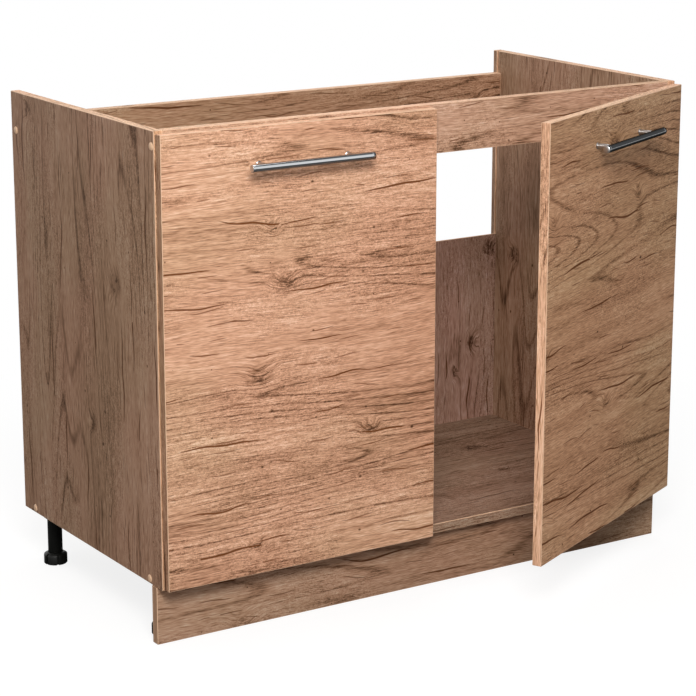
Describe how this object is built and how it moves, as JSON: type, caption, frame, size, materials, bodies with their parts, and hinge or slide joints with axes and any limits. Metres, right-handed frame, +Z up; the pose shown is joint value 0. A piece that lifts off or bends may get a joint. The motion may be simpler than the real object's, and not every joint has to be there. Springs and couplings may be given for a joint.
{
  "type": "sink base cabinet",
  "caption": "Freestanding kitchen base cabinet for an inset sink: open top, hinged doors on concealed cup hinges, bar handles, adjustable feet and a plinth.",
  "frame": {"origin": "on the floor, at the middle of the plinth's underside", "axes": "+X to the right along the front, +Y from the front to the wall, +Z up"},
  "size_m": [1.0036, 0.7338, 0.816],
  "materials": {
    "side_board": "oak melamine, vertical grain, satin",
    "carcass_board": "oak melamine, horizontal grain, satin",
    "door_board": "oak melamine, horizontal grain, satin",
    "back_board": "printed hardboard, oak, matt",
    "handle_chrome": "polished",
    "handle_screw_steel": "zinc plated",
    "hinge_steel": "nickel plated, satin",
    "black_plastic": "moulded, satin",
    "screw_cap": "moulded, oak colour"
  },
  "bodies": {
    "carcass": {"side_panel_left": "side_board", "side_panel_right": "side_board", "bottom_panel": "carcass_board", "front_rail": "carcass_board", "rear_rail": "carcass_board", "back_panel": "back_board", "plinth_board": "carcass_board", "screw_front_rail_left": "screw_cap", "screw_rear_rail_left": "screw_cap", "screw_bottom_front_left": "screw_cap", "screw_bottom_rear_left": "screw_cap", "screw_front_rail_right": "screw_cap", "screw_rear_rail_right": "screw_cap", "screw_bottom_front_right": "screw_cap", "screw_bottom_rear_right": "screw_cap", "leg_front_left": "black_plastic", "leg_rear_left": "black_plastic", "leg_front_right": "black_plastic", "leg_rear_right": "black_plastic", "plinth_clip_left": "black_plastic", "plinth_clip_right": "black_plastic", "hinge_arm_lower_left": "hinge_steel", "hinge_arm_upper_left": "hinge_steel", "hinge_arm_lower_right": "hinge_steel", "hinge_arm_upper_right": "hinge_steel", "hinge_plate_lower_left": "hinge_steel", "hinge_plate_upper_left": "hinge_steel", "hinge_plate_lower_right": "hinge_steel", "hinge_plate_upper_right": "hinge_steel"},
    "foot_front_left": {"foot_front_left": "black_plastic"},
    "foot_rear_left": {"foot_rear_left": "black_plastic"},
    "foot_front_right": {"foot_front_right": "black_plastic"},
    "foot_rear_right": {"foot_rear_right": "black_plastic"},
    "outer_links_left": {"outer_link_lower_left": "hinge_steel", "outer_link_upper_left": "hinge_steel"},
    "inner_links_left": {"inner_link_lower_left": "hinge_steel", "inner_link_upper_left": "hinge_steel"},
    "door_leaf_left": {"door_left": "door_board", "hinge_cup_lower_left": "hinge_steel", "hinge_cup_upper_left": "hinge_steel", "handle_bar_left": "handle_chrome", "handle_post_inner_left": "handle_chrome", "handle_post_outer_left": "handle_chrome", "handle_screw_inner_left": "handle_screw_steel", "handle_screw_outer_left": "handle_screw_steel"},
    "outer_links_right": {"outer_link_lower_right": "hinge_steel", "outer_link_upper_right": "hinge_steel"},
    "inner_links_right": {"inner_link_lower_right": "hinge_steel", "inner_link_upper_right": "hinge_steel"},
    "door_leaf_right": {"door_right": "door_board", "hinge_cup_lower_right": "hinge_steel", "hinge_cup_upper_right": "hinge_steel", "handle_bar_right": "handle_chrome", "handle_post_inner_right": "handle_chrome", "handle_post_outer_right": "handle_chrome", "handle_screw_inner_right": "handle_screw_steel", "handle_screw_outer_right": "handle_screw_steel"}
  },
  "joints": [
    {"name": "outer_links_left_turn", "type": "hinge", "parent": "carcass", "child": "outer_links_left", "pos_m": [-0.4663, -0.0195, 0.455], "axis": [0, 0, -1], "range_deg": [-18.3, 0.1]},
    {"name": "inner_links_left_turn", "type": "hinge", "parent": "carcass", "child": "inner_links_left", "pos_m": [-0.4743, -0.0223, 0.455], "axis": [0, 0, -1], "range_deg": [-21.5, 0.1]},
    {"name": "door_left_turn", "type": "hinge", "parent": "outer_links_left", "child": "door_leaf_left", "pos_m": [-0.491, -0.0328, 0.455], "axis": [0, 0, -1], "range_deg": [0, 125.19]},
    {"name": "outer_links_right_turn", "type": "hinge", "parent": "carcass", "child": "outer_links_right", "pos_m": [0.4663, -0.0195, 0.455], "axis": [0, 0, 1], "range_deg": [-13.85, 4.55]},
    {"name": "inner_links_right_turn", "type": "hinge", "parent": "carcass", "child": "inner_links_right", "pos_m": [0.4743, -0.0223, 0.455], "axis": [0, 0, 1], "range_deg": [-16.3, 5.35]},
    {"name": "door_right_turn", "type": "hinge", "parent": "outer_links_right", "child": "door_leaf_right", "pos_m": [0.48989, -0.03467, 0.455], "axis": [0, 0, 1], "range_deg": [-30.59, 94.59]},
    {"name": "foot_front_left_screw", "type": "slide", "parent": "carcass", "child": "foot_front_left", "axis": [0, 0, -1], "range_m": [-0.004, 0.008]},
    {"name": "foot_front_right_screw", "type": "slide", "parent": "carcass", "child": "foot_front_right", "axis": [0, 0, -1], "range_m": [-0.004, 0.008]},
    {"name": "foot_rear_left_screw", "type": "slide", "parent": "carcass", "child": "foot_rear_left", "axis": [0, 0, -1], "range_m": [-0.004, 0.008]},
    {"name": "foot_rear_right_screw", "type": "slide", "parent": "carcass", "child": "foot_rear_right", "axis": [0, 0, -1], "range_m": [-0.004, 0.008]}
  ],
  "couplings": [
    {"joint": "outer_links_left_turn", "follows": "door_left_turn", "ratio": -0.1453},
    {"joint": "inner_links_left_turn", "follows": "door_left_turn", "ratio": -0.17094},
    {"joint": "outer_links_right_turn", "follows": "door_right_turn", "ratio": -0.1453},
    {"joint": "inner_links_right_turn", "follows": "door_right_turn", "ratio": -0.17094}
  ]
}
